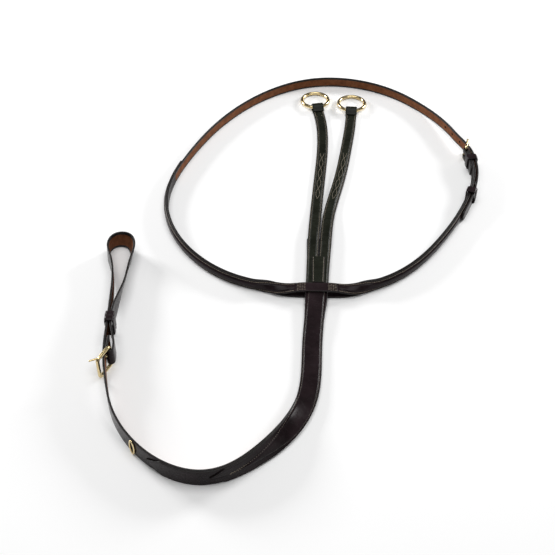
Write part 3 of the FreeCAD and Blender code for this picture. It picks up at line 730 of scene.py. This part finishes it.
def cut_hole(piece, lay, s, d, half_long, half_tall, deep=HOLE_DEPTH):
    """Punches a hole with round ends through a strap."""
    along, across, out = lay.axes(s)
    centre = lay.place(s, 0, d)
    points, count = [], 20
    for side in (-deep, deep):
        for k in range(count):
            a = 2 * math.pi * (k + 0.5) / count
            x = math.copysign(half_long - half_tall, math.cos(a)) + half_tall * math.cos(a)
            points.append(centre + along * x + across * half_tall * math.sin(a) + out * side)
    tool = make_mesh("hole_tool", points, skin(2, count), [EDGE])
    modifier = piece.modifiers.new("hole", "BOOLEAN")
    modifier.operation, modifier.solver, modifier.object = "DIFFERENCE", "EXACT", tool
    graph = bpy.context.evaluated_depsgraph_get()
    cut = bpy.data.meshes.new_from_object(piece.evaluated_get(graph))
    piece.modifiers.clear()
    piece.data = cut
    bpy.data.objects.remove(tool)


def build_chape():
    """Short leather turned round the neck buckle's heel bar."""
    heel = NECK.offset(0, -(NECK_WIRE + GAP))
    t = NECK.tangent(0)
    radius = NECK_WIRE + GAP + NECK_PLY / 2
    outside = [NECK.offset(s, NECK_PLY / 2) for s in (24, 16, 8, 3)]
    bend = []
    for k in range(7):
        a = math.pi * k / 6
        along, out = -math.sin(a) * radius, math.cos(a) * radius
        bend.append((heel[0] + t[0] * along - t[1] * out, heel[1] + t[1] * along + t[0] * out))
    clear, more = CHAPE_CLEAR
    inside = [NECK.offset(s, -NECK_LINING - NECK_PLY / 2 - clear - more * (1 - smooth(s, 4, 16)))
              for s in (4, 10, 18, 30, CHAPE_LENGTH)]
    route = Route(outside + bend + inside)
    lay = Lay(route, lambda s: 90, lambda s: neck_height(0))
    heel_at = route.nearest(bend[3])

    def section(s, inset):
        width = rounded_end(route.length - s, 8, 0.9, 2.0)
        return strap_outline(width, -NECK_PLY / 2, NECK_PLY / 2, edge_crease(width), inset, BACK)

    piece = ribbon("neck_chape_strap", lay, 0, route.length, section, 0.7)
    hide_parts("neck_chape")
    cut_hole(piece, lay, heel_at, 0, *CHAPE_SLOT, CHAPE_SLOT_DEPTH)
    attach(piece, "neck_strap")
    rows = [(heel_at + 12, route.length - 4, lambda s, k=k: CHAPE_SEAM * k, lambda s: NECK_PLY / 2)
            for k in (-1, 1)]
    row = stitches("neck_chape_stitching", lay, rows)
    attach(row, "neck_strap")


def build_neck_keepers():
    for node, body, place in (("neck_fixed_keeper", "neck_strap", NECK_FIXED_KEEPER),
                              ("neck_running_keeper", "neck_runner", NECK_RUNNING_KEEPER)):
        piece = keeper(node + "_loop", NECK_LAY, *place)
        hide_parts(node)
        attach(piece, body)


# Forks

WIRE_AXIS = FORK_LINING + FOLD_HOLE


def fork_bottom(route):
    return lambda s: (BASE + CROSSING_LIFT) * (1 - smooth(route.point(s)[1], FORK_FLEX_Y, FORK_FLAT_Y))


def fork_width(route):
    return lambda s: FORK_WIDTH - FORK_NARROWING * (1 - smooth(route.point(s)[1], *FORK_NARROW_SPAN))


def build_fork(side, points):
    route = Route(points)
    lay = Lay(route, lambda s: 0, fork_bottom(route))
    width = fork_width(route)
    end = route.length - FOLD_BACK - GAP
    flex = route.nearest_y(FORK_FLEX_Y)
    p = lay.place(flex, 0, 0)

    def crown(s):
        down = smooth(s, end - FORK_POINT, end)
        return raised(FORK_RIDGE - FORK_RIDGE_LOSS * down, BULGE * (1 - FORK_BULGE_LOSS * down), FORK_SEAM)

    def top(s, w):
        return FORK_LINING + FORK_PLY + crown(s)(w)

    lining = ribbon(f"fork_{side}_lining_strap", lay, 0, route.length - FOLD_BACK + 3,
                    lambda s, i: strap_outline(width(s), 0, FORK_LINING, flat, i, BACK),
                    materials=FORK_MATERIALS)
    ply = ribbon(f"fork_{side}_raised_strap", lay, 0, end, lambda s, i: strap_outline(
        width(s) - 0.3, FORK_LINING, FORK_LINING + FORK_PLY, crown(s), i, BACK), materials=FORK_MATERIALS)
    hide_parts(f"fork_{side}_lining")
    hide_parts(f"fork_{side}_raised_ply", f"fork_{side}_core", f"fork_{side}_root")
    # Close rows of light thread: real stitching that also paints in the highlight lines along the fork's
    # margins.
    edges = [(4, end - 1, lambda s, k=k: FORK_SEAM * k * width(s) / FORK_WIDTH, lambda s: top(s, FORK_SEAM))
             for k in (-1, 1)]
    plain = stitches(f"fork_{side}_stitching", lay, edges, CLOSE_STITCH_AND_HIGHLIGHT)
    first, last = (route.nearest_y(y) for y in FANCY_SPAN)

    def wave(s):
        return FANCY_REACH * math.sin(math.pi * FANCY_WAVES * (s - first) / (last - first))

    waves = [(first, last, lambda s, k=k: k * wave(s), lambda s: top(s, wave(s)) + 0.1) for k in (-1, 1)]
    fancy = stitches(f"fork_{side}_fancy_stitching", lay, waves)
    pieces = ((lining, "dark_leather"), (ply, "dark_leather"), (plain, "thread"), (fancy, "thread"))
    for piece, slot in pieces:
        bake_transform(piece)
    build_fold(side, route)


def build_fold(side, route):
    """Leather turned up over the ring and back, seen from the side as one bent strip."""
    inner, outer = FOLD_HOLE, FOLD_HOLE + FORK_LINING
    t = route.tangent(route.length)
    origin = spot(route.point(route.length), 0)
    along, across = Vector((t[0], t[1], 0)), Vector((-t[1], t[0], 0))
    centre = [(-FOLD_BACK + 2, 1.0), (-6, 1.0), (-3, 1.0)]
    middle = (inner + outer) / 2
    for k in range(13):
        a = math.radians(-90 + 15 * k)
        centre.append((middle * math.cos(a), WIRE_AXIS + middle * math.sin(a)))
    centre += [(-2.0, WIRE_AXIS + middle - 0.3), (-4.2, 8.8), (-6.4, 6.9), (-8.4, 5.5), (-FOLD_BACK, 4.9)]
    points, samples = [], 12
    for row, (a, z) in enumerate(centre):
        before, after = centre[max(0, row - 1)], centre[min(len(centre) - 1, row + 1)]
        d = Vector((after[0] - before[0], after[1] - before[1])).normalized()
        normal = along * d.y - Vector((0, 0, 1)) * d.x
        thick = 0.98 - 0.55 * smooth(row, len(centre) - 4, len(centre) - 1)
        base = origin + along * a + Vector((0, 0, z))
        for face in (1, -1):
            for k in range(samples + 1):
                w = (-1 + 2 * k / samples) * face
                round_off = 1 - max(0.0, abs(w) - 0.86) ** 2 * 30
                on_strip = base + across * w * FOLD_WIDTH / 2
                points.append(on_strip + normal * face * thick * max(0.3, round_off))
    piece = make_mesh(f"fork_{side}_fold", points, skin(len(centre), 2 * (samples + 1)), [OLIVE])
    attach(piece, f"fork_{side}")
    points, faces = [], []
    up = Vector((0, 0, 1))
    slope = (along + Vector((0, 0, 0.4))).normalized()
    for w in (-6.2, 6.2):
        for k in range(2):
            place = origin + along * (2.2 * k - 1.2 - FOLD_BACK) + across * w + up * (4.1 + 1.2 * k)
            add_stitch(points, faces, place, slope, across, up, 2.0, THREAD * 1.3)
    row = make_mesh(f"fork_{side}_fold_stitching", points, faces, [THREAD_AND_HIGHLIGHT_MATERIAL])
    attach(row, f"fork_{side}")


def build_yoke_cover():
    """Patch stitched over the place where the forks meet, its edges pressed down."""
    route = Route([(-3.5, COVER_Y), (-4.4, 24), (-5.4, YOKE_Y)])
    top = BASE + CROSSING_LIFT + FORK_LINING + FORK_PLY + BULGE
    lay = Lay(route, lambda s: 0, lambda s: top)

    def width(s):
        return COVER_WIDTH - COVER_NARROWING * s / route.length

    def section(s, inset):
        half = width(s) / 2

        def crown(w):
            depth, reach = COVER_PRESS
            return -depth * smooth(abs(w), half - reach, half) + edge_crease(2 * half)(w)
        return strap_outline(2 * half, -0.3, 1.4, crown, inset, BACK)

    piece = ribbon("yoke_cover_patch", lay, 0, route.length, section, 1.2, FORK_MATERIALS)
    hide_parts("yoke_cover")
    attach(piece, "centre_strap")
    rows = [(1.5, route.length - 1, lambda s, k=k: k * (width(s) / 2 - 1.5), lambda s: 1.05)
            for k in (-1, 1)]
    rows.append((1.4, 2.2, lambda s: (s - 1.8) * 16, lambda s: 1.5))
    row = stitches("yoke_stitching", lay, rows)
    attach(row, "centre_strap")


# Centre strap

def arc_points(centre, radius, first, last, count):
    out = []
    for k in range(count):
        a = math.radians(first + (last - first) * k / (count - 1))
        out.append((centre[0] + radius * math.cos(a), centre[1] + radius * math.sin(a)))
    return out


def centre_route():
    turn = arc_points(LOOP_TURN, LOOP_RADIUS, 170, 10, 5)
    heel = arc_points(GIRTH_HEEL, GIRTH_WIRE + GAP + BASE / 2, 0, -180, 9)
    return Route(CHEST_POINTS + turn + GIRTH_RETURN_POINTS + heel + GIRTH_END_POINTS)


CENTRE = centre_route()
CHEST_START = CENTRE.nearest((-6.5, YOKE_Y - 1))
CHEST_END = CENTRE.nearest((-133, -295))
CHEST_TIP = CENTRE.nearest((-112, -284))
SECOND_END = CENTRE.nearest((-201, -269))
ROLL_START = CENTRE.nearest((-17, -138))
ROLL_END = CENTRE.nearest((-126, -293))
LEAN_TURN = (CENTRE.nearest((-281, 66)), CENTRE.nearest((-249, 66)))


def girth_lean(s):
    if s < CHEST_END:
        return 0
    first, second = GIRTH_LEAN
    lean = (first + second) * smooth(s, *LEAN_TURN) - first
    return lean * smooth(CENTRE.point(s)[1], *LEAN_SPAN)


def centre_roll(s):
    return 90 * smooth(s, ROLL_START, ROLL_END) + girth_lean(s)


def centre_height(s):
    r = math.radians(centre_roll(s))
    y = CENTRE.point(s)[1]
    if s < ROLL_START:
        lift = CROSSING_LIFT * smooth(y, *CROSSING_SPAN)
    elif s > CHEST_END:
        lift = GIRTH_LIFT * smooth(y, *GIRTH_RISE_SPAN) * (1 - smooth(y, *GIRTH_FALL_SPAN))
    else:
        lift = 0
    return BASE / 2 * abs(math.cos(r)) + CENTRE_WIDTH / 2 * math.sin(r) + lift


def centre_width(s):
    y = CENTRE.point(s)[1]
    if s > ROLL_START:
        return CENTRE_WIDTH
    return (CENTRE_WIDTH + (YOKE_WIDTH - CENTRE_WIDTH) * smooth(y, *YOKE_SPAN)
            + YOKE_FLARE * smooth(y, *FLARE_SPAN))


CENTRE_LAY = Lay(CENTRE, centre_roll, centre_height)


def build_girth_strap():
    piece = ribbon("girth_strap_leather", CENTRE_LAY, 0, CENTRE.length, lambda s, i: strap_outline(
        centre_width(s), -BASE / 2, BASE / 2, edge_crease(centre_width(s)), i, BROWN), 1.6)
    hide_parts("girth_strap")
    first = CENTRE.nearest(GIRTH_HOLE)
    for k in range(-2, 4):
        half_long, half_tall = GIRTH_SLOT if k == 0 else (GIRTH_HOLE_HALF, GIRTH_HOLE_HALF)
        cut_hole(piece, CENTRE_LAY, first + HOLE_PITCH * k, 0, half_long, half_tall)
    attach(piece, "centre_strap")


def pointed(width, tip, s, end, length):
    """A ply's width where its end is cut to a V."""
    return min(width, tip + (width - tip) * max(0.0, end - s) / length)


def build_second_ply():
    low = BASE / 2

    def section(s, inset):
        width = pointed(centre_width(s), PLY_TIP, s, SECOND_END, SECOND_V)
        return strap_outline(width, low, low + SECOND, edge_crease(width), inset, BACK)

    piece = ribbon("chest_second_strap", CENTRE_LAY, CHEST_START, SECOND_END, section)
    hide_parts("chest_second_ply")
    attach(piece, "centre_strap")


def build_chest_raised():
    """Raised chest ply with a ridge that ends in a point and an end cut to a V."""
    low = BASE / 2 + SECOND

    def half(s):
        return pointed(centre_width(s) - 0.4, PLY_TIP, s, CHEST_END, CHEST_V) / 2

    def ridge(s):
        return 0.8 + (CHEST_RIDGE + 1.6) * (1 - smooth(s, CHEST_TIP - CHEST_POINT, CHEST_TIP))

    def seam(s):
        return min(CHEST_SEAM, ridge(s) / 2 + 0.25)

    def section(s, inset):
        bulge = BULGE * (1 - smooth(s, CHEST_TIP + CHEST_FADE[0], CHEST_TIP + CHEST_FADE[1]))
        crease = edge_crease(2 * half(s))

        def crown(w):
            return raised(ridge(s), bulge, seam(s))(w) + crease(w)
        return strap_outline(2 * half(s), low, low + RAISED, crown, inset, BACK, 48)

    piece = ribbon("chest_raised_strap", CENTRE_LAY, CHEST_START, CHEST_END, section)
    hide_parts("chest_raised_ply", "chest_core")
    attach(piece, "centre_strap")
    # Close rows of light thread: real stitching that also paints in the highlight lines beside the chest
    # ridge.
    rows = [(CHEST_START + 4, CHEST_TIP, lambda s, k=k: k * seam(s), lambda s: low + RAISED - 0.05)
            for k in (-1, 1)]
    row = stitches("chest_stitching", CENTRE_LAY, rows, CLOSE_STITCH_AND_HIGHLIGHT)
    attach(row, "centre_strap")


def build_girth_keeper():
    s = CENTRE.nearest(GIRTH_KEEPER)
    piece = keeper("girth_keeper_loop", CENTRE_LAY, s - GIRTH_KEEPER_HALF, s + GIRTH_KEEPER_HALF,
                   *GIRTH_KEEPER_FACES, CENTRE_WIDTH + 1, 2)
    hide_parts("girth_keeper")
    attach(piece, "girth_keeper")


# Brass

def tube(name, path, normal, radii, closed):
    """Round wire along a flat path, whose plane faces along normal."""
    points = []
    sides, count = 20, len(path)
    for k, p in enumerate(path):
        before = path[k - 1] if closed or k > 0 else p
        after = path[(k + 1) % count] if closed or k < count - 1 else p
        out = (after - before).normalized().cross(normal).normalized()
        for j in range(sides):
            a = 2 * math.pi * j / sides
            points.append(p + (out * math.cos(a) + normal * math.sin(a)) * radii[k])
    return make_mesh(name, points, skin(count, sides, closed), [BRASS])


def hang(piece, node, body):
    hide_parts(node)
    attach(piece, body)


def upright_axes(angle):
    a = math.radians(angle)
    return Vector((math.cos(a), math.sin(a), 0)), Vector((-math.sin(a), math.cos(a), 0)), Vector((0, 0, 1))


def build_wire_loop(name, place, angle, z, size, corner, wire, node, body):
    """A rounded rectangle of wire that stands upright. size is (low, high, half height)."""
    along, across, up = upright_axes(angle)
    centre = spot(place, z)
    low, high, half = size
    path = []
    for x, lift, first in ((high - corner, 1, 0), (low + corner, 1, 90), (low + corner, -1, 180),
                           (high - corner, -1, 270)):
        for k in range(9):
            a = math.radians(first + 90 * k / 8)
            p = (centre + along * (x + corner * math.cos(a))
                 + up * (lift * (half - corner) + corner * math.sin(a)))
            if not path or (p - path[-1]).length > 0.05:
                path.append(p)
    if (path[0] - path[-1]).length < 0.05:
        path.pop()
    hang(tube(name, path, across, [wire] * len(path), True), node, body)


def build_tongue(name, heel, angle, z, size, offset, wire, node, body):
    """A buckle tongue: an eye round the heel bar, and an arm that tapers to a blunt tip."""
    along, across, up = upright_axes(angle)
    centre = spot(heel, z)
    bore, wall, half, bevel = wire + GAP / 2, 1.1, 1.6, 0.7
    path, normals = [], []
    for k in range(32):
        a = 2 * math.pi * k / 32
        n = along * math.cos(a) + across * math.sin(a)
        path.append(centre + n * bore)
        normals.append(n)
    section = [(0, -half), (wall * bevel, -half), (wall, -half * bevel),
               (wall, half * bevel), (wall * bevel, half), (0, half)]
    eye = closed_sweep(f"{name}_eye", path, normals, up, section, [BRASS])
    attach(eye, body)
    reach, thick = size
    start = 0.0 if abs(offset) > bore else bore + wall / 2
    arm, radii = [], []
    for k in range(25):
        t = k / 24
        x = start + (reach - start) * math.sin(math.pi * t / 2)
        arm.append(centre + along * x + across * offset)
        taper = 1 - 0.3 * x / reach
        rounding = math.sqrt(max(0.02, 1 - max(0.0, (x / reach - 0.96) / 0.04) ** 2))
        radii.append(thick * taper * rounding)
    hang(tube(f"{name}_arm", arm, up, radii, False), node, body)


def build_rein_ring(side, points):
    route = Route(points)
    t = route.tangent(route.length)
    along, across, up = upright_axes(math.degrees(math.atan2(t[1], t[0])))
    centre = spot(route.point(route.length), WIRE_AXIS)
    tilt = math.asin((WIRE_AXIS - RING_WIRE) / (RING_REACH + RING_RADIUS))
    outward = along * math.cos(tilt) - up * math.sin(tilt)
    path = []
    for k in range(96):
        a = 2 * math.pi * k / 96
        reach = RING_REACH + RING_RADIUS * math.cos(a)
        path.append(centre + outward * reach + across * RING_RADIUS * math.sin(a))
    normal = along * math.sin(tilt) + up * math.cos(tilt)
    node = f"rein_ring_{side}"
    hang(tube(f"{node}_wire", path, normal, [RING_WIRE] * len(path), True), node, node)


def build_brass():
    neck_heel = NECK.offset(0, -(NECK_WIRE + GAP))
    t = NECK.tangent(0)
    neck_angle = math.degrees(math.atan2(t[1], t[0])) + 180 + NECK_FRAME_TURN
    neck_z, girth_z = neck_height(0), centre_height(CENTRE.nearest(GIRTH_HOLE))
    build_wire_loop("neck_buckle_wire", neck_heel, neck_angle, neck_z, (0, *NECK_FRAME), FRAME_CORNER,
                    NECK_WIRE, "neck_buckle_frame", "neck_buckle")
    build_tongue("neck_tongue_brass", neck_heel, neck_angle, neck_z, NECK_TONGUE, NECK_TONGUE_OFFSET,
                 NECK_WIRE, "neck_buckle_tongue", "neck_tongue")
    build_wire_loop("girth_buckle_wire", GIRTH_HEEL, GIRTH_FRAME_ANGLE, girth_z, (0, *GIRTH_FRAME),
                    FRAME_CORNER, GIRTH_WIRE, "girth_buckle_frame", "girth_buckle")
    build_tongue("girth_tongue_brass", GIRTH_HEEL, GIRTH_TONGUE_ANGLE, girth_z, GIRTH_TONGUE, 0, GIRTH_WIRE,
                 "girth_buckle_tongue", "girth_tongue")
    s = CENTRE.nearest(OVAL_PLACE)
    t = CENTRE.tangent(s)
    along, out, up = upright_axes(math.degrees(math.atan2(t[1], t[0])))
    centre = spot(CENTRE.offset(s, BASE / 2 + OVAL_WIRE + 0.1), centre_height(s))
    path, count = [], 64
    for k in range(count):
        a = 2 * math.pi * k / count
        path.append(centre + along * OVAL_HALF[0] * math.cos(a) + up * OVAL_HALF[1] * math.sin(a))
    hang(tube("chest_oval_wire", path, out, [OVAL_WIRE] * count, True), "chest_oval_ring", "centre_strap")
    build_rein_ring("left", FORK_LEFT_POINTS)
    build_rein_ring("right", FORK_RIGHT_POINTS)


# Stage

def build_floor():
    size = 6.0
    mesh = bpy.data.meshes.new("floor")
    corners = [(-size, -size, 0), (size, -size, 0), (size, size, 0), (-size, size, 0)]
    mesh.from_pydata(corners, [], [(0, 1, 2, 3)])
    material, shader = new_material("pale_floor", 0.9)
    stops = [(0.0, (0.93, 0.93, 0.93)), (1.0, (0.95, 0.95, 0.95))]
    material.node_tree.links.new(ramp(material, noise(material, 2), stops), shader.inputs["Base Color"])
    mesh.materials.append(material)
    floor = bpy.data.objects.new("floor", mesh)
    floor.location.z = -0.0004
    bpy.context.scene.collection.objects.link(floor)


def add_light(name, place, size, power):
    light = bpy.data.lights.new(name, "AREA")
    light.shape, light.size, light.energy = "SQUARE", size, power
    lamp = bpy.data.objects.new(name, light)
    lamp.location = place
    lamp.rotation_mode = "QUATERNION"
    lamp.rotation_quaternion = (Vector((0, 0, 0)) - Vector(place)).to_track_quat("-Z", "Y")
    bpy.context.scene.collection.objects.link(lamp)


def build_light():
    """One broad light overhead, and two small low ones behind that pick out the ridges."""
    world = bpy.data.worlds.new("studio")
    world.use_nodes = True
    world.node_tree.nodes["Background"].inputs["Color"].default_value = (1, 1, 1, 1)
    world.node_tree.nodes["Background"].inputs["Strength"].default_value = 0.12
    bpy.context.scene.world = world
    add_light("overhead_softbox", (0.0, -0.2, 2.4), 2.2, 44)
    add_light("back_left_softbox", (-1.7, 1.2, 0.75), 0.6, 34)
    add_light("back_right_softbox", (1.7, 1.2, 0.75), 0.6, 34)
    bpy.context.scene.view_settings.view_transform = "Standard"


def build_camera():
    """Looks along +Y and downwards, through a long lens."""
    down = 46
    camera = bpy.data.cameras.new("camera")
    camera.sensor_width = 36.0
    camera.lens = 71.35
    eye = bpy.data.objects.new("camera", camera)
    eye.location = (-0.0301, -1.0459, 1.032)
    eye.rotation_euler = (math.radians(90 - down), 0, 0)
    bpy.context.scene.collection.objects.link(eye)
    bpy.context.scene.camera = eye


build_camera()
build_floor()
build_light()
build_neck_lining()
build_neck_raised("right", NECK_RAISED_START, NECK_CROSS - NECK_BAND_HALF)
build_neck_raised("left", NECK_CROSS + NECK_BAND_HALF, NECK_JOIN + NECK_LAP)
build_neck_band()
build_billet()
build_chape()
build_neck_keepers()
build_fork("left", FORK_LEFT_POINTS)
build_fork("right", FORK_RIGHT_POINTS)
build_yoke_cover()
build_girth_strap()
build_second_ply()
build_chest_raised()
build_girth_keeper()
build_brass()
